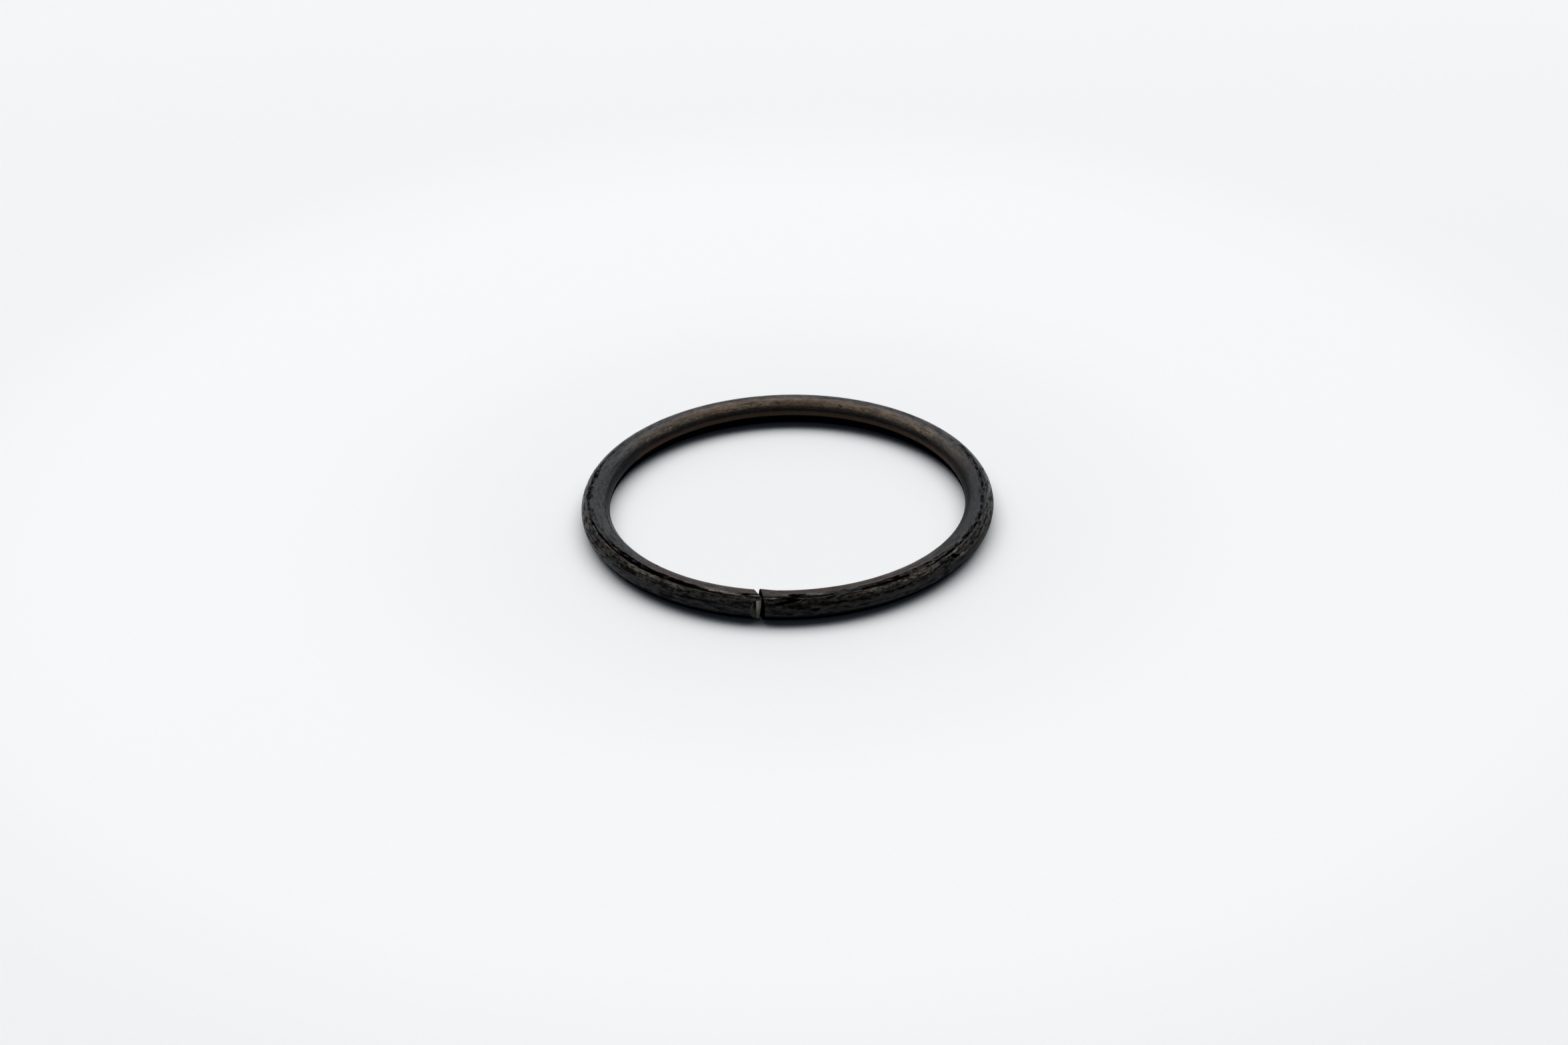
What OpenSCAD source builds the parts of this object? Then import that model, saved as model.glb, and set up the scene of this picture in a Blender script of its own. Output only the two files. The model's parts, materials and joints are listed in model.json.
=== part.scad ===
// Round-wire snap ring: a circlip bent from one length of hard spring wire.
// Origin at the ring's centre, half way up the wire. The ring lies flat,
// +Z is its axis, and the gap between the two cut ends faces -Y.

/* [Wire] */
// Diameter of the round wire
wire_d = 2.0; // [1.2:0.1:3.2]
// Free inside diameter of the closed ring, measured between the wire's inner faces
inner_d = 25.1; // [16:0.1:60]

/* [Right end] */
// Slope of the sheared end face, away from a square cut
shear_tilt = 20; // [0:1:25]
// Place round the section where the sheared face sticks out furthest (0 outward, 90 up, 180 inward)
shear_lead = 188; // [150:1:200]
// How far the sheared face's middle stands forward into the gap
shear_advance = 0.035; // [0:0.005:0.1]
// Height of the lip that the shear drew up at the inner top corner
burr_height = 0.08; // [0.04:0.01:0.12]
// Length of the lip along the wire, from the gap's middle
burr_length = 0.9; // [0.5:0.05:1.4]
// Roundness of the lip's crest, as a share of the wire's own radius
burr_bulge = 0.7; // [0.5:0.05:0.9]
// Place of the lip round the section
burr_at = 122; // [100:1:140]

/* [Left end] */
// Narrowest space between the two ends, along the wire
end_clearance = 0.04; // [0.03:0.01:0.3]
// Slope of the small face where the last of the wire snapped through
snap_tilt = 4; // [0:1:12]
// Place round the section that the snapped face leans back to
snap_at = -115; // [-130:1:-60]
// How far the snapped face stands back from the gap's middle
snap_setback = 0.04; // [0:0.01:0.2]
// Slope of the long outer facet that the pinching cutter left, away from a square cut
pinch_tilt = 36; // [25:1:50]
// Place round the section that the outer facet faces
pinch_at = 3; // [-20:1:20]
// Distance of the outer facet's ridge from the wire's middle, as a share of the wire's own radius
pinch_start = 0.14; // [0:0.01:0.5]
// Height of the shoulder that the outer facet stops at, as a share of the wire's own radius
shoulder_height = 0.74; // [0.5:0.01:0.9]
// Slope of the short top bevel, away from a square cut
top_bevel_tilt = 44; // [30:1:60]
// Place round the section that the top bevel faces
top_bevel_at = 135; // [100:1:150]
// Distance of the top bevel's ridge from the wire's middle, as a share of the wire's own radius
top_bevel_start = 0.34; // [0.1:0.01:0.8]

/* [Draw lines] */
// Radius of the grooves that a worn drawing die scored along the wire
score_r = 0.06; // [0.03:0.01:0.1]
// Depth of the grooves
score_depth = 0.025; // [0.01:0.005:0.03]
// Place of the upper groove round the section
upper_score_at = 61; // [45:1:75]
// Place of the lower groove round the section
lower_score_at = 27; // [10:1:40]
// Angle round the ring where the grooves begin, counted from +X
score_from = 171; // [100:1:200]
// Angle round the ring that the grooves run for
score_sweep = 224; // [60:1:230]

/* [Knocks] */
// Length of the long gouge beside the right end
gouge_length = 1.9; // [1:0.1:3]
// Width of the gouge
gouge_width = 0.3; // [0.15:0.01:0.4]
// Depth of the gouge
gouge_depth = 0.08; // [0.03:0.01:0.1]
// Distance of the gouge's middle from the gap's middle, along the wire
gouge_from_gap = 1.75; // [1.4:0.05:3]
// Place of the gouge round the section
gouge_at = 43; // [20:1:60]
// Angle between the gouge and the wire
gouge_slant = 12; // [0:1:25]
// Length of the dent further round the ring
dent_length = 0.9; // [0.5:0.05:1.4]
// Depth of the dent
dent_depth = 0.07; // [0.03:0.01:0.1]
// Angle of the dent round the ring, counted from +X
dent_round = 331; // [300:1:350]
// Place of the dent round the section
dent_at = 34; // [15:1:60]

/* [Hidden] */

steel = [0.23, 0.21, 0.2];
wire_r = wire_d / 2;
// Radius of the wire's centre line
ring_r = inner_d / 2 + wire_r;
// How far past the wire every cutter reaches
reach = wire_d;
// How far the lip's rod runs on under the surface, where it has sunk in
burr_root = 0.5;
gap_round = 270;
degrees_per_mm = 180 / (PI * ring_r);
// Smoothness of the ring, of the wire's section and of the small grooves
ring_fn = 192;
section_fn = 48;
groove_fn = 24;

// Carries a shape to a place on the centre line. There +X runs along the wire,
// +Z is up and -Y points away from the ring's axis.
module at_ring(round)
    rotate([0, 0, round - gap_round])
        translate([0, -ring_r, 0])
            children();

// Turns a shape about the wire, so that its -Y faces the given place round the section.
module facing(section)
    rotate([-section, 0, 0])
        children();

// Everything on the +X side of a plane that leans back by tilt towards -Y.
module beyond(tilt)
    rotate([0, 0, -tilt])
        translate([0, -2 * reach, -reach])
            cube([3 * reach, 4 * reach, 2 * reach]);

// Everything past a bevel that faces the given place, with its ridge a share of
// the wire's radius away from the middle.
module past_bevel(tilt, section, start)
    facing(section)
        translate([0, -start * wire_r, 0])
            beyond(tilt);

// Everything below the shoulder at the left end.
module below_shoulder()
    translate([-2 * reach, -2 * reach, -reach])
        cube([4 * reach, 4 * reach, reach + shoulder_height * wire_r]);

// Everything on the -X side of the right end's sheared face.
module before_right_end()
    translate([-shear_advance, 0, 0])
        facing(shear_lead)
            mirror([1, 0, 0])
                beyond(-shear_tilt);

// Everything past the left end: a snapped face, kept clear of the right end,
// with a long facet outside, under a shoulder, and a short bevel on top.
module past_left_end() {
    translate([-snap_setback, 0, 0])
        facing(snap_at)
            beyond(snap_tilt);
    translate([-shear_advance - end_clearance, 0, 0])
        facing(shear_lead)
            beyond(shear_tilt);
    intersection() {
        past_bevel(pinch_tilt, pinch_at, pinch_start);
        below_shoulder();
    }
    past_bevel(top_bevel_tilt, top_bevel_at, top_bevel_start);
}

// The open space between the two ends.
module end_gap()
    at_ring(gap_round)
        intersection() {
            past_left_end();
            before_right_end();
        }

// The lip that the shear drew up: a rod inside the wire that climbs out of it
// towards the sheared face, so that only its crest shows.
module burr() {
    face_x = -(wire_r + burr_height) * tan(shear_tilt) - shear_advance;
    climb = atan(burr_height / (burr_length - face_x));
    burr_r = burr_bulge * wire_r;
    run = (burr_length - face_x) / cos(climb);
    at_ring(gap_round)
        facing(burr_at)
            translate([burr_length, burr_r - wire_r, 0])
                rotate([0, 0, climb])
                    rotate([0, -90, 0])
                        translate([0, 0, -burr_root])
                            cylinder(r = burr_r, h = burr_root + run, $fn = section_fn);
}

// One groove scored along the outside of the wire by the drawing die.
module score(section) {
    centre_r = wire_r + score_r - score_depth;
    rotate([0, 0, score_from])
        rotate_extrude(angle = score_sweep, $fn = ring_fn)
            translate([ring_r + centre_r * cos(section), centre_r * sin(section)])
                circle(r = score_r, $fn = groove_fn);
}

// A long scoop: the bite of a thin round-edged wheel that runs along the wire.
module gouge() {
    edge_r = gouge_width * gouge_width / (8 * gouge_depth) + gouge_depth / 2;
    wheel_r = gouge_length * gouge_length / (8 * gouge_depth);
    at_ring(gap_round + gouge_from_gap * degrees_per_mm)
        facing(gouge_at)
            translate([0, -wire_r + gouge_depth, 0])
                rotate([0, -gouge_slant, 0])
                    translate([0, -wheel_r, 0])
                        rotate_extrude($fn = ring_fn)
                            translate([wheel_r - edge_r, 0])
                                circle(r = edge_r, $fn = groove_fn);
}

// A shallow round dent, knocked in by something hard.
module dent() {
    ball_r = dent_length * dent_length / (8 * dent_depth);
    at_ring(dent_round)
        facing(dent_at)
            translate([0, -wire_r + dent_depth - ball_r, 0])
                sphere(r = ball_r, $fn = section_fn);
}

// The whole ring: one closed hoop of wire, opened at the gap and marked by use.
module wire_ring() {
    color(steel)
        difference() {
            union() {
                rotate_extrude($fn = ring_fn)
                    translate([ring_r, 0])
                        circle(r = wire_r, $fn = section_fn);
                burr();
            }
            end_gap();
            score(upper_score_at);
            score(lower_score_at);
            gouge();
            dent();
        }
}

wire_ring();
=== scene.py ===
import json
import math
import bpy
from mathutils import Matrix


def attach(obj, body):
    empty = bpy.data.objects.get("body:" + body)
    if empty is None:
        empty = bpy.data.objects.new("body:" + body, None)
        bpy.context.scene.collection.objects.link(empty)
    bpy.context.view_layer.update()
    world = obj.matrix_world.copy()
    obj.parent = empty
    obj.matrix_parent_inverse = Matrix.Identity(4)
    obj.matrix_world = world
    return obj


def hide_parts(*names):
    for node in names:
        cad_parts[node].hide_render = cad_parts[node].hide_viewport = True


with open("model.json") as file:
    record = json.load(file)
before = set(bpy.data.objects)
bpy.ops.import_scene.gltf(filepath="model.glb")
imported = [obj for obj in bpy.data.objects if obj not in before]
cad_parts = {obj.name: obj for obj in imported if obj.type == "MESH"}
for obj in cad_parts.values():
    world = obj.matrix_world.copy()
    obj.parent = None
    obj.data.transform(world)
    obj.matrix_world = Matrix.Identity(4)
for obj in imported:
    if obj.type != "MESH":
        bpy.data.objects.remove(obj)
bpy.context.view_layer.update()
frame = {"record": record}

from types import SimpleNamespace

import bpy
import numpy as np
from mathutils import Matrix, Vector

# A snap ring of blackened spring wire lies on a pale floor. Sizes here are in
# millimetres and degrees, and go to metres where a mesh or an object is made.
# A place round the ring is an angle from +X, and past 360 it runs on to the
# right side and the back. The same place as t is the distance along the wire
# from the gap's middle, where the right end starts. A place v round the wire's
# section is 0 outward, 90 up and 180 inward, and a point of the section has y
# outward and z up.
MM = 0.001

# The wire
seat = next(m for m in frame["record"]["mounts"] if m["name"] == "shaft_groove_seat")
WIRE_R = seat["dims"]["length_mm"] / 2
RING_R = seat["dims"]["r_mm"] + WIRE_R
HOOP = 2 * math.pi * RING_R
GAP_ROUND = 270
DEGREES_PER_MM = 360 / HOOP

# The cut ends, as the solid has them. Only the shoulder's underside, level
# there, slopes a little here: it runs this far along the wire for its height.
SHEAR_TILT = 20
SHEAR_LEAD = 188
SHEAR_ADVANCE = 0.035
END_CLEARANCE = 0.04
SNAP_TILT = 4
SNAP_AT = -115
SNAP_SETBACK = 0.04
PINCH_TILT = 36
PINCH_AT = 3
PINCH_START = 0.14 * WIRE_R
SHOULDER_HEIGHT = 0.74 * WIRE_R
SHOULDER_RUN = 12
TOP_BEVEL_TILT = 44
TOP_BEVEL_AT = 135
TOP_BEVEL_START = 0.34 * WIRE_R

# The lip, a soft hump over the crest that the solid has. It starts to rise at
# one distance from the gap's middle and is full at the other.
LIP_HEIGHT = 0.065
LIP_START = 1.1
LIP_FULL = -0.3
LIP_AT = 122
LIP_HALF_WIDTH = 34

# The draw lines. Noise breaks them up: they are gone where it is below the first
# limit, and full where it is above the second.
UPPER_SCORE_AT = 61
UPPER_SCORE_HALF_WIDTH = 2.2
UPPER_SCORE_LIMITS = (-0.6, 0.3)
LOWER_SCORE_AT = 27
LOWER_SCORE_HALF_WIDTH = 1.8
LOWER_SCORE_LIMITS = (-0.3, 0.5)
SCORE_DEPTH = 0.025
SCORE_FROM = 171
SCORE_TO = 395

# The gouge and the dent. Both are full within a rim that is soft and ragged.
GOUGE_LENGTH = 1.9
GOUGE_WIDTH = 0.3
GOUGE_DEPTH = 0.08
GOUGE_FROM_GAP = 1.75
GOUGE_AT = 43
GOUGE_SLANT = 12
GOUGE_RIM = (-0.2, 0.6)
GOUGE_RAGGED = 0.2
GOUGE_LEAST_TAPER = 0.05
DENT_LENGTH = 0.9
DENT_WIDTH = 0.45
DENT_DEPTH = 0.07
DENT_ROUND = 331
DENT_AT = 34
DENT_SLANT = 0.7
DENT_RIM = (0, 0.7)
DENT_RAGGED = 0.5

# Stretches of the ring and bands round its section. Each starts, is full, fades
# and ends at its four places, and an edge only starts and is full.
WORN_STRETCH = (SCORE_FROM - 2, SCORE_FROM + 1, SCORE_TO - 20, SCORE_TO)
FRONT_STRETCH = (222, 240, 308, 338)
RIGHT_STRETCH = (312, 335, 380, 410)
BACK_STRETCH = (374, 400, 505, 524)
RIGHT_BACK_STRETCH = (395, 425, 480, 505)
STRIP_BAND = (14, 22, 54, 62)
TINGE_BAND = (76, 86, 130, 160)
TAN_BAND = (80, 124, 132, 150)
BROWN_BAND = (162, 169, 176, 184)
DARK_REFLECTION_EDGE = (146, 153)
DARK_REFLECTION_FAR_EDGE = (160, 165)
BENEATH_EDGE = (2, -40)
SPOTTED_EDGE = (26, 14)
LOW_OUTSIDE_EDGE = (26, 18)
TOP_EDGE = (75, 90)
TOP_INSIDE_EDGE = (112, 145)
INSIDE_EDGE = (128, 150)
LOW_INSIDE_EDGE = (178, 186)

# The last v, low inside, and the last place round the ring, far left, before
# both start over
LAST_V = 215
LAST_ROUND = 525

# The left end's facet: where its bare strip ends, and its brown hollow of
# painted shade across the section and up it
STRIP_FADE = 0.50
STRIP_END = 0.58
HOLLOW_ACROSS = (0.48, 0.56, 0.72, 0.80)
HOLLOW_UP = (-0.15, 0.15, 0.66, 0.73)
FACET_TOLERANCE = 0.01

# Heights of the skin's fine relief. Where the wire rests on the floor it has none.
STREAK_RELIEF = 0.004
SCALE_RELIEF = 0.003
GRIT_RELIEF = 0.008
RAGGED_RELIEF = 0.007
MARK_RELIEF = 0.009
CAP_RELIEF = 0.012
RESTING_AT = -90
RESTING_HALF_WIDTH = 30

# Noise in the skin's shape and masks: the length of a cell, the cells round the
# section, the octaves and the seed
NOISES = {
    "coarse": (1.1, 24, 4, 11),
    "ragged": (0.35, 72, 3, 23),
    "grit": (0.14, 110, 2, 37),
    "streak": (4.0, 96, 3, 51),
    "breaks": (1.6, 60, 3, 67),
}
OCTAVE_FADE = 1.8
NOISE_GAIN = 1.6

# Noise on the cut faces is the same kind, laid over each face and drawn together
CAP_NOISE = (0.3, 60, 3)
CAP_SEEDS = {"right": 91, "left": 90}
CAP_NOISE_FROM = 8
CAP_SHRINK_ACROSS = 2
CAP_SHRINK_UP = 4

# Masks that the skin carries for its material, each from 0 for none to about 1
# for full: black marks, marks down to dull metal and painted glints, rust, the
# rough strip along the draw lines, tan film with painted highlight and painted
# reflections, soot with painted shade, spots of soot and bare metal
MASKS = ("dark", "pale", "rust", "strip", "film", "soot", "spotted", "bare")

# Rings of points on a cut face, as shares of the radius at its edge
CAP_RING_COUNT = 24
CAP_RINGS = 1 - (np.arange(CAP_RING_COUNT) + 0.5) / (CAP_RING_COUNT + 0.5)

# Edges that bend more than this are shaded sharp
SHARP_ANGLE = 38


def along(round_at):
    """Distance along the wire from the gap to a place round the ring."""
    return ((round_at - GAP_ROUND) % 360) / DEGREES_PER_MM


def smooth(low, high, x):
    """0 up to low, 1 from high on and a smooth rise between. It falls where low is above high."""
    k = np.clip((x - low) / (high - low), 0, 1)
    return k * k * (3 - 2 * k)


def band(x, start, full, fade, end):
    """1 from full to fade, 0 outside start and end, and smooth between."""
    return smooth(start, full, x) * (1 - smooth(fade, end, x))


def lattice(t, v, step, cells, seed):
    """Smooth noise from -1 to 1, in cells of step mm along the wire and 360 / cells degrees round it."""
    cells_before = 3
    cells_to_spare = 8
    rng = np.random.default_rng(seed)
    count = int(HOOP / step) + cells_to_spare
    knots = rng.uniform(-1, 1, (count, cells))
    a = t / step + cells_before
    b = np.mod(v / 360 * cells, cells)
    i = np.clip(np.floor(a).astype(int), 0, count - 2)
    j = np.floor(b).astype(int) % cells
    fa = smooth(0, 1, a - i)
    fb = smooth(0, 1, b - np.floor(b))
    k = (j + 1) % cells
    near = knots[i, j] * (1 - fa) + knots[i + 1, j] * fa
    far = knots[i, k] * (1 - fa) + knots[i + 1, k] * fa
    return near * (1 - fb) + far * fb


def fractal(t, v, step, cells, octaves, seed):
    """Noise with finer and fainter copies of itself, still about -1 to 1."""
    total = np.zeros(np.broadcast(t, v).shape)
    weight = 0.0
    for n in range(octaves):
        share = 1 / OCTAVE_FADE ** n
        total += lattice(t, v, step / 2 ** n, cells * 2 ** n, seed + n) * share
        weight += share
    return total / weight * NOISE_GAIN


def section_point(radius, v):
    """The y and z of a point of the section."""
    return radius * np.cos(np.radians(v)), radius * np.sin(np.radians(v))


def slope(y, z, tilt, place, start=0):
    """Where along the wire a sloping face lies, at a point of the section.

    The face is turned by tilt from a square cut towards a place round the
    section, about a line that lies start away from the middle.
    """
    a = math.radians(place)
    reach = y * math.cos(a) + z * math.sin(a)
    return (start - reach) * math.tan(math.radians(tilt))


def right_face(y, z):
    """Where the right end's sheared face lies."""
    return slope(y, z, SHEAR_TILT, SHEAR_LEAD) - SHEAR_ADVANCE


def pinch_facet(y, z):
    """Where the long outer facet of the left end lies."""
    return slope(y, z, PINCH_TILT, PINCH_AT, PINCH_START)


def left_face(y, z):
    """Where the left end lies: snapped, kept clear of the right end, faceted outside and on top."""
    snapped = slope(y, z, SNAP_TILT, SNAP_AT) - SNAP_SETBACK
    kept_clear = right_face(y, z) - END_CLEARANCE
    shoulder = (z - SHOULDER_HEIGHT) * SHOULDER_RUN
    under_shoulder = np.maximum(pinch_facet(y, z), shoulder)
    top = slope(y, z, TOP_BEVEL_TILT, TOP_BEVEL_AT, TOP_BEVEL_START)
    return np.minimum.reduce([snapped, kept_clear, under_shoulder, top])


def end_face(end, y, z):
    """Distance along the wire at which the right or the left end lies."""
    if end == "right":
        return right_face(y, z)
    return HOOP + left_face(y, z)


# Marks along the wire. Each has the place round the ring where it starts and
# ends, its place round the section at both, its half width in degrees and its
# strength. A mark runs on past its ends in a taper, and its edges are soft and
# ragged.
MARK_TAPER = 0.45
MARK_EDGE = 0.7
MARK_RAGGED = 0.45

# Scored or rubbed through to black
DARK_MARKS = [
    # The left side
    (157, 172, 79, 72, 10, 0.42),
    (170, 189, 70, 66, 13, 0.55),
    (186, 202, 63, 59, 7, 0.56),
    (189, 200, 68, 68, 9, 0.36),
    (196, 217, 74, 73, 9, 0.4),
    (198, 203, 55, 54, 5, 0.5),
    (203, 213, 60, 60, 3.2, 0.95),
    (203, 219, 23, 23, 1.8, 0.8),
    # Left of the gap
    (214, 230, 60, 60, 3.5, 1.0),
    (217.5, 222.5, 72, 73, 5, 0.8),
    (221, 236, 68, 68, 7, 0.66),
    (223, 237, 76, 75, 4, 0.8),
    (229, 253, 62, 62, 5.5, 1.0),
    (234.3, 235, 121, 107, 2.4, 1.4),
    (235, 245, 70, 70, 8, 1.0),
    (244, 250, 70, 69, 6, 1.0),
    (246, 291, 18, 20, 2.6, 0.8),
    (251, 254.5, 65, 62, 5, 0.9),
    (253, 264.5, 59, 59, 2.6, 1.0),
    (264.5, 266, 69, 69, 8, 1.0),
    (266, 269.3, 60, 60, 3, 0.9),
    (266, 269.3, 74, 74, 3, 0.8),
    # Right of the gap
    (271, 277, 62, 62, 1.8, 0.7),
    (271, 291, 94, 92, 18, 0.3),
    (272, 290, 4, 4, 14, 0.34),
    (272, 290, 31, 28, 13, 0.5),
    (276.6, 277.6, 57, 57, 6, 0.9),
    (278, 290, 61, 61, 2.6, 0.95),
    (279.3, 283, 73, 71, 9, 0.6),
    (281, 283, 17, 13, 7, 0.6),
    (283.6, 285.4, 9, 8, 7, 0.65),
    (290, 293, 27, 27, 4, 0.7),
    (290, 299, 70, 69, 7, 0.4),
    (296, 313, 25, 26, 4.5, 0.5),
    (298, 333, 76, 76, 2.6, 0.55),
    (299, 313, 60, 60, 4, 0.95),
    (299.5, 312, 66, 65, 8, 0.8),
    (309.3, 310.3, 24, 24, 5, 0.9),
    (312, 334, 69, 68, 8, 0.5),
    (313, 322, 73, 74, 4, 0.55),
    (315.5, 318.5, 41, 40, 2.5, 0.9),
    # The right side, round the dent and past it
    (320, 322, 60, 60, 3, 0.9),
    (322, 332, 60, 62, 4.5, 1.0),
    (330.4, 332.6, 42, 26, 6, 1.0),
    (331, 342, 60, 66, 3, 0.6),
    (338, 352, 67, 68, 9, 0.52),
    (338.6, 340, 33, 32, 4, 0.7),
    (341, 342.6, 64, 64, 6, 0.7),
    (345, 351, 68, 68, 7, 0.6),
    (351, 364, 70, 75, 10, 0.5),
    (358.5, 360.5, 73, 73, 5, 0.6),
    (364, 392, 75, 79, 12, 0.52),
    # The back
    (480.5, 482.5, 112, 140, 7, 0.36),
    (487, 489, 122, 122, 5, 0.42),
    (495.5, 497, 122, 122, 4, 0.3),
]

# Rubbed down to a dull tan metal, and painted glints where the scale catches
# the lamp
PALE_MARKS = [
    # Left of the gap. The last four are chips with painted highlights
    (226, 248, 46, 47, 7, 0.5),
    (230, 246, 44, 48, 3, 1.0),
    (231.5, 235, 64, 64, 4, 0.1),
    (239.5, 241.3, 65, 64, 5, 0.35),
    (253.4, 259, 75, 72, 2.5, 0.9),
    (255.5, 260.5, 67, 69, 4, 1.0),
    (260, 264, 66, 65, 4, 1.0),
    (266.3, 269.2, 67, 67, 2, 0.9),
    # Right of the gap. The first five are painted glints
    (271.6, 274, 58, 58, 2.8, 1.0),
    (276.6, 277, 74, 74, 3, 0.6),
    (283.2, 284.4, 76, 75, 4, 0.7),
    (284.7, 285.4, 72, 72, 4, 1.0),
    (286.3, 287.2, 70, 70, 3, 0.8),
    (299, 323, 45, 46, 7, 0.42),
    (309, 315, 47, 46, 3.2, 1.4),
    (315, 316.6, 50, 50, 3, 0.8),
    (316, 321, 36, 37, 1.8, 0.7),
    (321.5, 323, 62, 62, 2.5, 0.8),
    # The right side, round the dent
    (327.8, 329.2, 52, 52, 3, 1.0),
    (331.2, 332.4, 53, 53, 2.5, 0.9),
    (333, 335.8, 25, 22, 4.5, 1.6),
    (336.5, 337.5, 103, 103, 3, 0.4),
    # The back
    (404, 418, 131, 127, 7, 0.6),
    (431, 440, 129, 127, 7, 0.45),
    (464, 482, 130, 130, 7, 0.6),
    (486, 494, 134, 134, 5, 0.4),
    (499, 510, 136, 134, 7, 0.55),
]

# Covered by a film of rust
RUST_MARKS = [
    (214, 222, 66, 66, 5, 0.5),
    (236, 253, 79, 79, 2.5, 0.8),
    (253, 268, 62, 62, 3, 0.7),
    (264, 270, 76, 77, 4, 0.8),
    (270.8, 279, 64, 64, 2.5, 0.8),
    (279, 300, 30, 30, 10, 0.3),
    (300, 314, 78, 78, 2, 0.6),
    (300, 322, 66, 66, 4, 0.5),
]


def marks(t, v, rows, ragged):
    """The strongest of a list of marks at each point, with tapered ends and ragged edges."""
    found = np.zeros(t.shape)
    for start, end, start_v, end_v, half, strength in rows:
        t0 = along(start)
        t1 = t0 + (end - start) / DEGREES_PER_MM
        share = np.clip((t - t0) / (t1 - t0), 0, 1)
        past = t - (t0 + share * (t1 - t0))
        aside = np.radians(v - start_v - share * (end_v - start_v)) * WIRE_R
        reach = 1 - np.hypot(MARK_TAPER * past, aside) / (math.radians(half) * WIRE_R)
        cover = smooth(-MARK_EDGE, MARK_EDGE, reach + MARK_RAGGED * ragged)
        found = np.maximum(found, strength * cover)
    return found


def gouge_share(t, v, ragged):
    """Share of the gouge's depth: a long scoop set at a slant to the wire."""
    slant = math.radians(GOUGE_SLANT)
    a = t - GOUGE_FROM_GAP
    b = np.radians(v - GOUGE_AT) * WIRE_R
    length = a * math.cos(slant) + b * math.sin(slant)
    width = b * math.cos(slant) - a * math.sin(slant)
    taper = 1 - (2 * length / GOUGE_LENGTH) ** 2
    across = 1 - (2 * width / GOUGE_WIDTH) ** 2 / np.maximum(taper, GOUGE_LEAST_TAPER)
    return smooth(*GOUGE_RIM, np.minimum(taper, across) + GOUGE_RAGGED * ragged)


def dent_share(t, v, ragged):
    """Share of the dent's depth: a slanting knock with a broken rim."""
    a = (t - along(DENT_ROUND)) * 2 / DENT_LENGTH
    b = np.radians(v - DENT_AT) * WIRE_R * 2 / DENT_WIDTH + DENT_SLANT * a
    return smooth(*DENT_RIM, 1 - a * a - b * b + DENT_RAGGED * ragged)


def lip_share(t, v):
    """Share of the lip's height: it rises to the right end over its own length."""
    across = np.clip(1 - ((v - LIP_AT) / LIP_HALF_WIDTH) ** 2, 0, 1)
    return smooth(LIP_START, LIP_FULL, t) * across


def score_share(v, breaks):
    """Share of the draw lines' depth: two lines along the outside, with breaks."""
    upper = np.exp(-((v - UPPER_SCORE_AT) / UPPER_SCORE_HALF_WIDTH) ** 2)
    lower = np.exp(-((v - LOWER_SCORE_AT) / LOWER_SCORE_HALF_WIDTH) ** 2)
    upper = upper * smooth(*UPPER_SCORE_LIMITS, breaks)
    lower = lower * smooth(*LOWER_SCORE_LIMITS, breaks)
    return np.maximum(upper, lower)


def coats(v, round_at, strip, noise):
    """Masks for what covers the scale in whole areas: rust, tan film, soot and spots of soot, with
    painted highlight, painted reflections and painted shade among them.
    """
    at_front = band(round_at, *FRONT_STRETCH)
    at_right = band(round_at, *RIGHT_STRETCH)
    at_back = band(round_at, *BACK_STRETCH)
    at_right_back = band(round_at, *RIGHT_BACK_STRETCH)

    # The back has a tan film on top, partly a painted highlight; inside that a
    # dark painted reflection of the room, and below it a brown line, a painted
    # reflection of the lit floor
    tan = band(v + 3 * noise.coarse, *TAN_BAND) * at_back * (0.5 + 0.5 * at_right_back)
    tan = tan * (0.84 + 0.16 * noise.ragged + 0.42 * noise.coarse)
    in_dark_reflection = smooth(*DARK_REFLECTION_EDGE, v + 2 * noise.coarse)
    past_dark_reflection = smooth(*DARK_REFLECTION_FAR_EDGE, v + noise.ragged)
    dark_reflection = in_dark_reflection * (1 - past_dark_reflection) * at_back
    brown = band(v + noise.ragged, *BROWN_BAND) * at_back * (0.8 + 0.3 * noise.ragged)

    # The front is only tinged with rust on top
    tinge = band(v, *TINGE_BAND) * at_front

    # Painted shade, as matt black, lies thick underneath and low inside; matt black
    # lies thin low outside, on top at the right and inside
    beneath = 0.85 * smooth(*BENEATH_EDGE, v + 4 * noise.coarse)
    low_inside = smooth(*LOW_INSIDE_EDGE, v + 2 * noise.coarse)
    low_outside = smooth(*LOW_OUTSIDE_EDGE, v) * (0.2 + 0.04 * noise.coarse + 0.22 * at_right)
    right_top = smooth(*TOP_EDGE, v) * (0.29 + 0.16 * smooth(*TOP_INSIDE_EDGE, v)) * at_right
    inside = 0.4 * smooth(*INSIDE_EDGE, v) * (1 - at_right_back)
    soot = [beneath, low_inside, low_outside, right_top, inside, 0.6 * brown, 0.5 * dark_reflection]

    spotted = np.maximum(0.42 + 0.45 * smooth(*SPOTTED_EDGE, v), 0.9 * strip) + 0.1 * at_back
    # The brown line and the dark band above it, both painted reflections, are laid into the masks below
    return {
        "rust": np.maximum(0.8 * brown, tinge),
        "film": np.maximum.reduce([tan, 0.62 * brown, 0.08 * dark_reflection, 0.16 * tinge]),
        "soot": np.maximum.reduce(soot),
        "spotted": spotted,
    }


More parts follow.
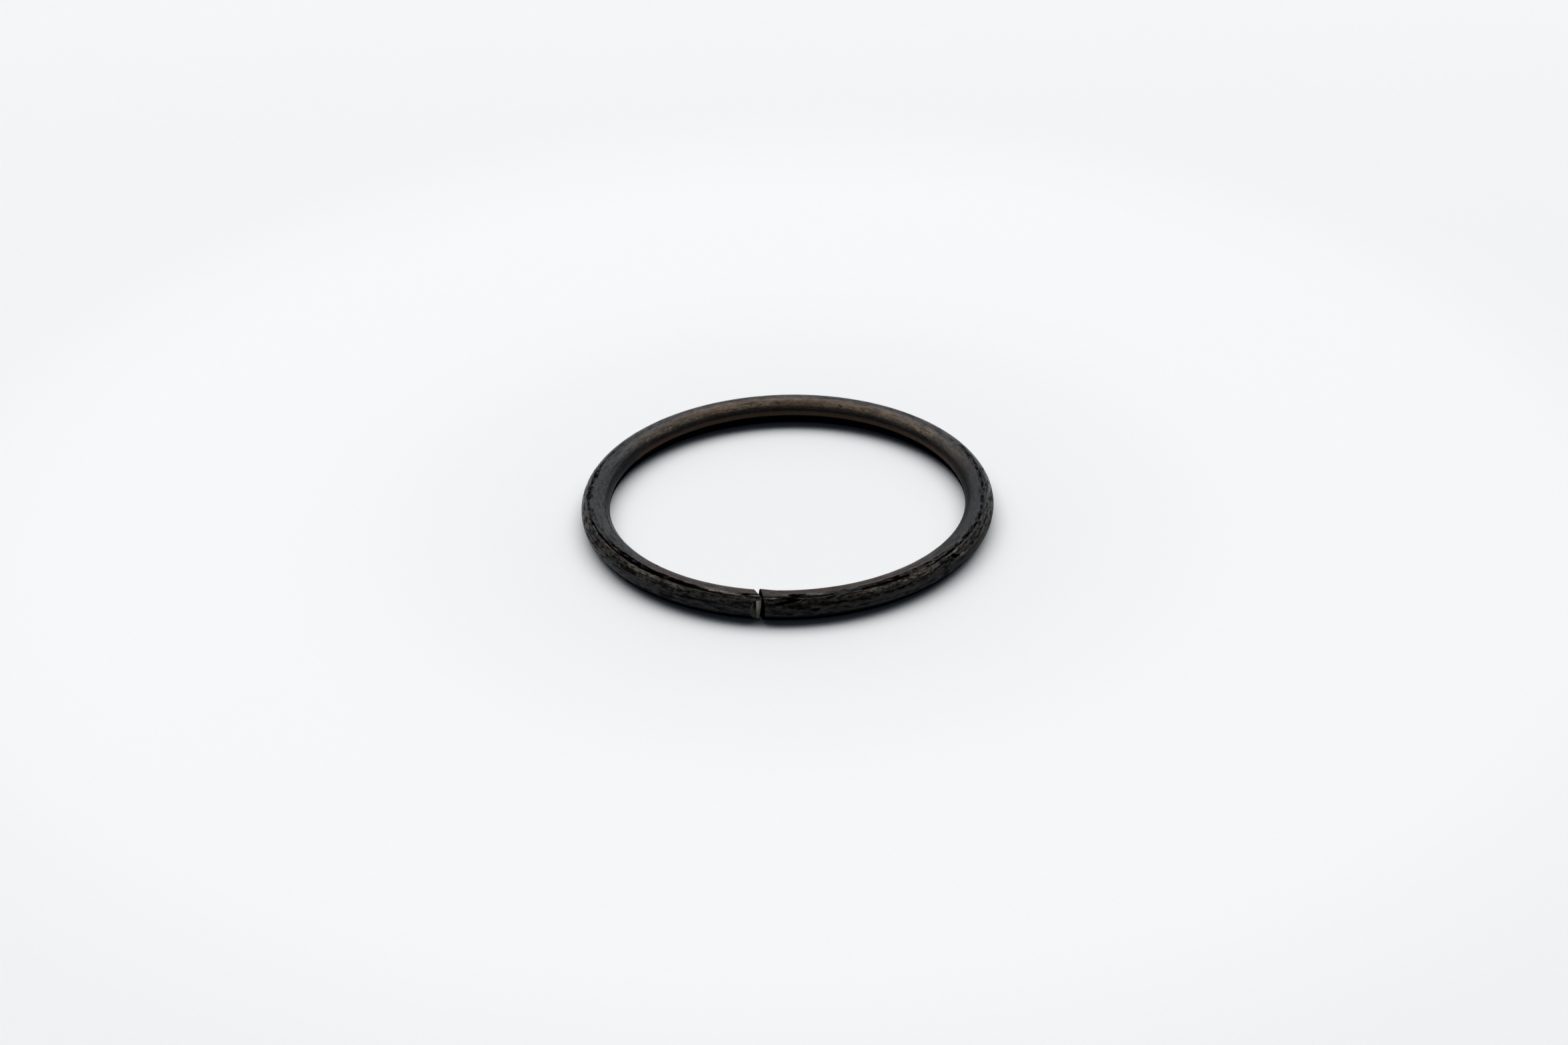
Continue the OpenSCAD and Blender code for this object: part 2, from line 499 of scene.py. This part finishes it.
def surface(t, v):
    """Height of the wire's skin over a true round wire, and the masks that colour it."""
    noise = SimpleNamespace(**{name: fractal(t, v, *kind) for name, kind in NOISES.items()})
    v = np.where(v > LAST_V, v - 360, v)
    round_at = GAP_ROUND + t * DEGREES_PER_MM
    round_at = np.where(round_at > LAST_ROUND, round_at - 360, round_at)

    worn = band(round_at, *WORN_STRETCH)
    strip = band(v + 2 * noise.coarse, *STRIP_BAND) * worn
    scores = score_share(v, noise.breaks) * worn
    gouge = gouge_share(t, v, noise.ragged)
    dent = dent_share(t, v, noise.ragged)
    dark = marks(t, v, DARK_MARKS, noise.ragged + 0.5 * noise.streak)
    pale = marks(t, v, PALE_MARKS, noise.ragged) * smooth(-1.7, -0.7, noise.grit)
    rust = marks(t, v, RUST_MARKS, noise.ragged)

    height = STREAK_RELIEF * noise.streak + SCALE_RELIEF * noise.coarse
    height += strip * (GRIT_RELIEF * noise.grit + RAGGED_RELIEF * noise.ragged)
    height -= dark * (MARK_RELIEF + RAGGED_RELIEF * noise.ragged)
    height += pale * (1 - 0.5 * dark) * MARK_RELIEF
    height -= SCORE_DEPTH * scores + GOUGE_DEPTH * gouge + DENT_DEPTH * dent
    height *= smooth(0, RESTING_HALF_WIDTH, np.abs(v - RESTING_AT))
    height += LIP_HEIGHT * lip_share(t, v)

    masks = coats(v, round_at, strip, noise)
    masks["rust"] = np.maximum(masks["rust"], rust)
    masks["strip"] = strip
    masks["pale"] = pale * (1 - smooth(0.1, 0.5, gouge))
    masks["dark"] = np.maximum.reduce([
        dark * (1 - 0.85 * pale),
        0.6 * scores * (1 - pale),
        smooth(0, 1, gouge),
        smooth(0, 0.8, dent),
    ])
    masks["bare"] = np.zeros_like(t)
    return height, masks


def cut_masks(end, y, z, rough):
    """The masks of a cut face at points of the section.

    The sheared end is painted black as shade, and brown towards its lip. The
    pinched end is painted black as shade too, but its facet has a bare strip that
    darkens downwards as painted shade, a brown hollow of painted shade and a dull rest.
    """
    masks = {name: np.zeros_like(y) for name in MASKS}
    if end == "right":
        # The sheared face is painted black all over, as shade
        masks["soot"] += 1
        masks["film"] = 0.2 * smooth(0.35, 0.95, z)
        return masks
    below_shoulder = z < SHOULDER_HEIGHT
    on_facet = below_shoulder & (pinch_facet(y, z) < left_face(y, z) + FACET_TOLERANCE)
    strip = smooth(STRIP_END, STRIP_FADE, y + 0.05 * z + 0.03 * rough)
    # Painted shade: the strip darkens downwards, and the hollow is darkened and tinted rusty brown
    strip = strip * (0.5 + 0.5 * smooth(-0.5, 0.2, z))
    hollow = band(y, *HOLLOW_ACROSS) * band(z, *HOLLOW_UP)
    dull = (0.07 + 0.03 * rough) * (1 - 0.9 * hollow)
    shine = np.maximum(strip * (1 + 0.12 * rough), dull)
    hollow = hollow * (1 - strip)
    masks["bare"] = np.where(on_facet, np.clip(shine, 0, 1), 0)
    masks["rust"] = np.where(on_facet, hollow, 0)
    # Off the facet the cut face is painted black, as shade
    masks["soot"] = np.where(on_facet, 0.52 * hollow, 1)
    return masks


class Skin:
    """Points, faces and point values of the ring's skin, as they are added."""

    def __init__(self):
        self.points = []
        self.values = []
        self.faces = []
        self.count = 0

    def add_points(self, t, radius, v, masks):
        """Adds points at t along the wire and at radius and v in its section. Gives their numbers."""
        round_at = np.radians(GAP_ROUND + t * DEGREES_PER_MM)
        y, z = section_point(radius, v)
        out = RING_R + y
        spots = np.stack([out * np.cos(round_at), out * np.sin(round_at), z], -1)
        values = np.stack([t, y, z, *(masks[name] for name in MASKS)], -1)
        self.points.append(spots.reshape(-1, 3))
        self.values.append(values.reshape(-1, values.shape[-1]))
        numbers = self.count + np.arange(t.size).reshape(t.shape)
        self.count += t.size
        return numbers

    def add_faces(self, *corners):
        """Adds faces from arrays that hold the number of each corner, in turn."""
        faces = np.stack(corners, -1)
        self.faces += faces.reshape(-1, len(corners)).tolist()

    def mesh(self):
        """The skin as a mesh in metres, with the point values as attributes."""
        mesh = bpy.data.meshes.new("wire_skin")
        mesh.from_pydata((np.concatenate(self.points) * MM).tolist(), [], self.faces)
        mesh.shade_smooth()
        mesh.set_sharp_from_angle(angle=math.radians(SHARP_ANGLE))
        values = np.concatenate(self.values).astype(np.float32)
        on_wire = mesh.attributes.new("wire_place", "FLOAT_VECTOR", "POINT")
        on_wire.data.foreach_set("vector", values[:, :3].ravel())
        for name, column in zip(MASKS, values[:, 3:].T):
            mask = mesh.attributes.new(name, "FLOAT", "POINT")
            mask.data.foreach_set("value", column.copy())
        return mesh


def spread(stops, spacings):
    """Positions from the first stop to the last, with its own spacing between each pair."""
    out = [stops[0]]
    for low, high, gap in zip(stops, stops[1:], spacings):
        count = max(1, round((high - low) / gap))
        out.extend(low + (high - low) * (n + 1) / count for n in range(count))
    return np.array(out)


def add_cap(skin, end, edge, edge_r, columns):
    """Closes an end of the skin: rings of points towards the cut face's middle, and a fan there."""
    def outward(*corners):
        """Corners in the order that turns a face of this end out of the wire."""
        return corners if end == "right" else corners[::-1]

    ring = edge
    for share in CAP_RINGS:
        radius = edge_r * share
        y, z = section_point(radius, columns)
        # The face is rough, but not at its edge, where it meets the skin
        across = y * CAP_SHRINK_ACROSS + CAP_NOISE_FROM
        up = np.degrees(z) * CAP_SHRINK_UP
        rough = fractal(across, up, *CAP_NOISE, CAP_SEEDS[end])
        t = end_face(end, y, z) + CAP_RELIEF * rough * (1 - share ** 6)
        inner = skin.add_points(t, radius, columns, cut_masks(end, y, z, rough))
        skin.add_faces(*outward(ring, np.roll(ring, -1), np.roll(inner, -1), inner))
        ring = inner
    zero = np.zeros(1)
    masks = cut_masks(end, zero, zero, zero)
    middle = skin.add_points(end_face(end, zero, zero), zero, zero, masks)
    skin.add_faces(*outward(ring, np.roll(ring, -1), np.repeat(middle, ring.size)))


def ring_mesh():
    """The whole ring as one closed skin: rows along the wire, columns round it and two caps."""
    # Columns lie closer on the side that is seen, and closest at the shoulder of the left end
    shoulder = math.degrees(math.asin(SHOULDER_HEIGHT / WIRE_R))
    columns = spread(
        [-90, -30, shoulder - 0.3, shoulder + 0.3, 125, 190, 270],
        [10, 2.4, 0.6, 2.4, 6, 10],
    )[:-1]
    # Rows lie closer at both ends and along the front, and far apart behind
    rows = spread(
        [0, 1.2, 2.9, along(398), along(165), HOOP - 2, HOOP],
        [0.03, 0.045, 0.075, 0.2, 0.075, 0.04],
    )[:, None]
    # Near an end the rows lean over, until the last one lies on the cut face
    y, z = section_point(WIRE_R, columns)
    t = rows + right_face(y, z) * smooth(2, 0, rows) + left_face(y, z) * smooth(3, 0, HOOP - rows)
    v = np.broadcast_to(columns, t.shape)
    height, masks = surface(t, v)
    radius = WIRE_R + height

    skin = Skin()
    here = skin.add_points(t, radius, v, masks)
    beside = np.roll(here, -1, axis=1)
    skin.add_faces(here[:-1], here[1:], beside[1:], beside[:-1])
    add_cap(skin, "right", here[0], radius[0], columns)
    add_cap(skin, "left", here[-1], radius[-1], columns)
    return skin.mesh()


class Nodes:
    """Short calls for building a material's nodes."""

    def __init__(self, name):
        self.material = bpy.data.materials.new(name)
        self.material.use_nodes = True
        self.tree = self.material.node_tree
        self.tree.nodes.clear()
        self.output = self.tree.nodes.new("ShaderNodeOutputMaterial")

    def add(self, kind, **settings):
        """A new node with its settings."""
        node = self.tree.nodes.new(kind)
        for key, value in settings.items():
            setattr(node, key, value)
        return node

    def put(self, socket, value):
        """Links a socket to another, or sets its value."""
        if isinstance(value, bpy.types.NodeSocket):
            self.tree.links.new(value, socket)
        else:
            socket.default_value = value

    def attribute(self, name, output="Fac"):
        """What the mesh carries under a name."""
        return self.add("ShaderNodeAttribute", attribute_name=name).outputs[output]

    def wire_noise(self, stretch, scale, detail, roughness):
        """Noise on the wire. A stretch below 1 draws it out along the wire."""
        place = self.add("ShaderNodeVectorMath", operation="MULTIPLY")
        self.put(place.inputs[0], self.attribute("wire_place", "Vector"))
        place.inputs[1].default_value = (stretch, 1, 1)
        node = self.add("ShaderNodeTexNoise")
        self.put(node.inputs["Vector"], place.outputs[0])
        node.inputs["Scale"].default_value = scale
        node.inputs["Detail"].default_value = detail
        node.inputs["Roughness"].default_value = roughness
        return node.outputs["Fac"]

    def ramp(self, value, low, high, to_low=0.0, to_high=1.0):
        """A smooth change from to_low to to_high while the value goes from low to high."""
        node = self.add("ShaderNodeMapRange", interpolation_type="SMOOTHSTEP")
        self.put(node.inputs["Value"], value)
        node.inputs["From Min"].default_value = low
        node.inputs["From Max"].default_value = high
        node.inputs["To Min"].default_value = to_low
        node.inputs["To Max"].default_value = to_high
        return node.outputs["Result"]

    def math(self, operation, *values):
        """A sum, product or the like of its values."""
        node = self.add("ShaderNodeMath", operation=operation)
        for socket, value in zip(node.inputs, values):
            self.put(socket, value)
        return node.outputs[0]

    def total(self, *parts):
        """Sum of values, each given with the share of it that is taken."""
        out = 0.0
        for value, share in parts:
            out = self.math("MULTIPLY_ADD", value, share, out)
        return out

    def mix(self, factor, a, b):
        """Colour a where the factor is 0, b where it is 1."""
        node = self.add("ShaderNodeMix", data_type="RGBA")
        self.put(node.inputs["Factor"], factor)
        self.put(node.inputs["A"], a)
        self.put(node.inputs["B"], b)
        return node.outputs["Result"]


# Noise in the steel's colours: its stretch along the wire, its scale per
# millimetre, its detail and its roughness
STEEL_NOISES = {
    "grain": (0.4, 7.0, 3.0, 0.6),
    "fine": (0.8, 18.0, 2.0, 0.6),
    "drawn": (0.10, 6.0, 3.0, 0.6),
    "cloud": (0.4, 1.6, 2.0, 0.5),
    "tint": (0.5, 3.1, 2.0, 0.5),
    "blot": (0.4, 4.3, 4.0, 0.62),
    "smear": (0.13, 5.5, 3.0, 0.6),
}

# Colours of the steel, each linear red, green and blue, and alpha
SCALE_BLUE = (0.0088, 0.0115, 0.0148, 1)
SCALE_GREY = (0.0166, 0.018, 0.0198, 1)
SCALE_DRAWN = (0.0258, 0.0266, 0.0276, 1)
SCALE_PALE = (0.0405, 0.040, 0.0392, 1)
FILM_AND_REFLECTION_TAN = (0.135, 0.103, 0.072, 1)
FILM_AND_REFLECTION_GOLD = (0.182, 0.128, 0.084, 1)
FILM_AND_REFLECTION_SHADE = (0.080, 0.062, 0.045, 1)
STRIP_OLIVE = (0.066, 0.069, 0.056, 1)
STRIP_BROWN = (0.060, 0.050, 0.042, 1)
STRIP_PIT = (0.004, 0.005, 0.007, 1)
STRIP_SPECK = (0.15, 0.142, 0.115, 1)
RUST = (0.026, 0.0125, 0.0075, 1)
SCUFF_AND_GLINT_SHADE = (0.035, 0.026, 0.019, 1)
SCUFF_AND_GLINT_CREAM = (0.28, 0.25, 0.19, 1)
METAL_WARM = (0.62, 0.56, 0.46, 1)
METAL_PALE = (0.78, 0.73, 0.63, 1)
SOOT_AND_SHADE_BLACK = (0.0006, 0.0005, 0.0007, 1)
SOOT_AND_SHADE_BROWN = (0.0075, 0.0032, 0.0026, 1)
SOOT_AND_SHADE_NAVY = (0.0005, 0.0009, 0.0015, 1)
SOOT_AND_SHADE_RUSTY = (0.010, 0.0052, 0.0042, 1)
SOOT_AND_SHADE_TAN = (0.115, 0.062, 0.032, 1)

# The gloss of the scale and its fine bumps
SHEEN_TINT = (1.0, 0.965, 0.93, 1)
SHEEN_IOR = 1.22
BUMP_STRENGTH = 0.35
BUMP_DISTANCE = 0.02


def scale_colour(n, noise, mask):
    """Colour of the scale with its film with painted highlight and reflections, worn strip, rust, pale
    marks with painted glints, and of the bare metal.
    """
    scale = n.mix(n.ramp(noise.cloud, 0.35, 0.65), SCALE_BLUE, SCALE_GREY)
    scale = n.mix(n.ramp(noise.drawn, 0.35, 0.7), scale, SCALE_DRAWN)
    scale = n.mix(n.ramp(noise.grain, 0.45, 0.75), scale, SCALE_PALE)
    film = n.mix(n.ramp(noise.tint, 0.35, 0.65), FILM_AND_REFLECTION_TAN, FILM_AND_REFLECTION_GOLD)
    film = n.mix(n.ramp(noise.grain, 0.3, 0.55), FILM_AND_REFLECTION_SHADE, film)
    strip = n.mix(n.ramp(noise.tint, 0.35, 0.65), STRIP_OLIVE, STRIP_BROWN)
    strip = n.mix(n.ramp(noise.grain, 0.33, 0.62), STRIP_PIT, strip)
    strip = n.mix(n.ramp(noise.fine, 0.6, 0.85), strip, STRIP_SPECK)
    scuff_and_glint = n.mix(n.ramp(noise.grain, 0.35, 0.62), SCUFF_AND_GLINT_SHADE, SCUFF_AND_GLINT_CREAM)
    scuffed_and_glinting = n.math("MULTIPLY", mask.pale, n.ramp(noise.blot, 0.36, 0.56, 0.3, 1.1))
    metal = n.mix(n.ramp(noise.drawn, 0.35, 0.65), METAL_WARM, METAL_PALE)

    colour = n.mix(mask.film, scale, film)
    colour = n.mix(n.math("MULTIPLY", mask.strip, 0.9), colour, strip)
    colour = n.mix(n.math("MULTIPLY", mask.rust, 0.7), colour, RUST)
    colour = n.mix(scuffed_and_glinting, colour, scuff_and_glint)
    return n.mix(mask.bare, colour, metal)


def soot_and_shade_colour(n, noise, mask):
    """Colour of the soot and painted shade: black with brown specks, bluish where thick, brown on rust
    and film.
    """
    colour = n.mix(n.ramp(noise.grain, 0.5, 0.72), SOOT_AND_SHADE_BLACK, SOOT_AND_SHADE_BROWN)
    colour = n.mix(mask.soot, colour, SOOT_AND_SHADE_NAVY)
    colour = n.mix(n.math("MULTIPLY", mask.rust, 0.9), colour, SOOT_AND_SHADE_RUSTY)
    return n.mix(mask.film, colour, SOOT_AND_SHADE_TAN)


def steel_material():
    """Blackened drawn steel: glossy scale, with matt black in its marks and in spots, and matt black
    painted shade underneath, low inside and on the cut faces.
    """
    n = Nodes("blackened_steel")
    mask = SimpleNamespace(**{name: n.attribute(name) for name in MASKS})
    noise = SimpleNamespace(**{name: n.wire_noise(*kind) for name, kind in STEEL_NOISES.items()})
    marked = n.math("MULTIPLY", mask.dark, n.ramp(noise.blot, 0.3, 0.7, 0.6, 1.5))
    black = n.math("MAXIMUM", marked, mask.soot)
    relief = n.total((noise.grain, 0.5), (noise.fine, 0.3), (noise.drawn, 0.3))
    roughness = n.total((n.ramp(noise.grain, 0.3, 0.8, 0.20, 0.36), 1.0), (black, 0.5))
    spots = n.ramp(n.total((noise.blot, 0.5), (noise.smear, 0.5)), 0.43, 0.62)
    spots = n.math("MULTIPLY", spots, mask.spotted)
    soot_and_shade_share = n.math("MAXIMUM", n.ramp(black, 0.1, 0.75), spots)

    bump = n.add("ShaderNodeBump")
    bump.inputs["Strength"].default_value = BUMP_STRENGTH
    bump.inputs["Distance"].default_value = BUMP_DISTANCE * MM
    n.put(bump.inputs["Height"], relief)
    scale = n.add("ShaderNodeBsdfPrincipled")
    n.put(scale.inputs["Base Color"], scale_colour(n, noise, mask))
    n.put(scale.inputs["Roughness"], roughness)
    n.put(scale.inputs["Normal"], bump.outputs["Normal"])
    scale.inputs["IOR"].default_value = SHEEN_IOR
    scale.inputs["Specular Tint"].default_value = SHEEN_TINT
    soot = n.add("ShaderNodeBsdfDiffuse")
    n.put(soot.inputs["Color"], soot_and_shade_colour(n, noise, mask))
    blend = n.add("ShaderNodeMixShader")
    n.put(blend.inputs["Fac"], soot_and_shade_share)
    n.put(blend.inputs[1], scale.outputs["BSDF"])
    n.put(blend.inputs[2], soot.outputs["BSDF"])
    n.put(n.output.inputs["Surface"], blend.outputs["Shader"])
    return n.material


# The floor is a square board, reaching this far from the ring's middle. From
# there out it turns paler, and further out darker again, and it is paler in
# front than behind: painted light and shade on a board of one white.
FLOOR_HALF = 400
FLOOR_SHADE = (0.835, 0.84, 0.838, 1)
FLOOR_PALE = (0.934, 0.939, 0.937, 1)
PALER_FROM = 15
PALER_TO = 38
DARKER_FROM = 50
DARKER_TO = 70
FRONT_REACH = 70


def floor_material():
    """Matt white board."""
    n = Nodes("white_board")
    place = n.add("ShaderNodeTexCoord").outputs["Object"]
    length = n.add("ShaderNodeVectorMath", operation="LENGTH")
    n.put(length.inputs[0], place)
    away = length.outputs["Value"]
    parts = n.add("ShaderNodeSeparateXYZ")
    n.put(parts.inputs["Vector"], place)
    paler = n.ramp(away, PALER_FROM * MM, PALER_TO * MM)
    darker = n.ramp(away, DARKER_FROM * MM, DARKER_TO * MM)
    front = n.ramp(parts.outputs["Y"], FRONT_REACH * MM, -FRONT_REACH * MM)
    level = n.total((paler, 0.5), (darker, -0.409), (front, 0.5))
    shader = n.add("ShaderNodeBsdfDiffuse")
    n.put(shader.inputs["Color"], n.mix(level, FLOOR_SHADE, FLOOR_PALE))
    n.put(n.output.inputs["Surface"], shader.outputs["BSDF"])
    return n.material


def add_object(name, data):
    piece = bpy.data.objects.new(name, data)
    bpy.context.scene.collection.objects.link(piece)
    return piece


def build_ring():
    ring = add_object("ring_skin", ring_mesh())
    ring.data.materials.append(steel_material())
    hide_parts("wire_ring")
    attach(ring, "root")


def build_floor():
    half = FLOOR_HALF * MM
    low = -WIRE_R * MM
    corners = [(-half, -half, low), (half, -half, low), (half, half, low), (-half, half, low)]
    mesh = bpy.data.meshes.new("floor_board")
    mesh.from_pydata(corners, [], [(0, 1, 2, 3)])
    floor = add_object("floor_board", mesh)
    mesh.materials.append(floor_material())


# The camera, found by fitting the ring's outline in the photograph
PHOTO_WIDTH = 2352
PHOTO_HEIGHT = 1568
RING_PIXEL = (1181.08, 753.63)
FOCAL_PIXELS = 5600
VIEW_AZIMUTH = 8.0
VIEW_ELEVATION = 30.833
VIEW_ROLL = 1.353
VIEW_DISTANCE = 263.9
SENSOR = 36.0
CLIP_START = 10
CLIP_END = 5000


def towards(azimuth, elevation):
    """Direction out from the ring. Azimuth 0 is the gap's side and 90 is +X."""
    a = math.radians(azimuth)
    e = math.radians(elevation)
    return Vector((math.sin(a) * math.cos(e), -math.cos(a) * math.cos(e), math.sin(e)))


def build_camera():
    """Looks from the photograph's place, turned so that the ring's middle falls on its pixel."""
    back = towards(VIEW_AZIMUTH, VIEW_ELEVATION)
    a = math.radians(VIEW_AZIMUTH)
    level = Vector((math.cos(a), math.sin(a), 0))
    above = back.cross(level)
    r = math.radians(VIEW_ROLL)
    right = level * math.cos(r) - above * math.sin(r)
    up = above * math.cos(r) + level * math.sin(r)
    off_x = RING_PIXEL[0] - PHOTO_WIDTH / 2
    off_y = PHOTO_HEIGHT / 2 - RING_PIXEL[1]
    per_pixel = VIEW_DISTANCE / FOCAL_PIXELS
    aim = -right * off_x * per_pixel - up * off_y * per_pixel
    spot = back * VIEW_DISTANCE
    back = (spot - aim).normalized()
    right = up.cross(back).normalized()
    up = back.cross(right)
    data = bpy.data.cameras.new("camera")
    data.sensor_width = SENSOR
    data.lens = FOCAL_PIXELS * SENSOR / PHOTO_WIDTH
    data.clip_start = CLIP_START * MM
    data.clip_end = CLIP_END * MM
    camera = add_object("camera", data)
    turn = Matrix((right, up, back)).transposed().to_4x4()
    camera.matrix_world = Matrix.Translation(spot * MM) @ turn
    bpy.context.scene.camera = camera


# Both lamps stand behind the ring, opposite the camera
LAMP_AZIMUTH = VIEW_AZIMUTH + 180
LAMP_DISTANCE = 1500
ROOM_COLOUR = (0.72, 0.92, 1.2, 1)
ROOM_STRENGTH = 0.04


def area_lamp(name, elevation, width, height, radiance, colour):
    """A square-edged softbox that faces the ring. Radiance 1 shows as white."""
    place = towards(LAMP_AZIMUTH, elevation) * LAMP_DISTANCE * MM
    data = bpy.data.lights.new(name, "AREA")
    data.shape = "RECTANGLE"
    data.size = width * MM
    data.size_y = height * MM
    data.energy = radiance * math.pi * data.size * data.size_y
    data.color = colour
    lamp = add_object(name, data)
    turn = place.to_track_quat("Z", "Y").to_matrix().to_4x4()
    lamp.matrix_world = Matrix.Translation(place) @ turn


def build_light():
    area_lamp("softbox", 59, 2200, 1000, radiance=2.85, colour=(1.02, 1.0, 0.97))
    area_lamp("bounce_screen", 49, 4000, 2775, radiance=1.0, colour=(0.97, 1.0, 1.05))
    world = bpy.data.worlds.new("room")
    world.use_nodes = True
    back = world.node_tree.nodes["Background"]
    back.inputs["Color"].default_value = ROOM_COLOUR
    back.inputs["Strength"].default_value = ROOM_STRENGTH
    bpy.context.scene.world = world


build_ring()
build_floor()
build_camera()
build_light()
bpy.context.scene.view_settings.view_transform = "Standard"
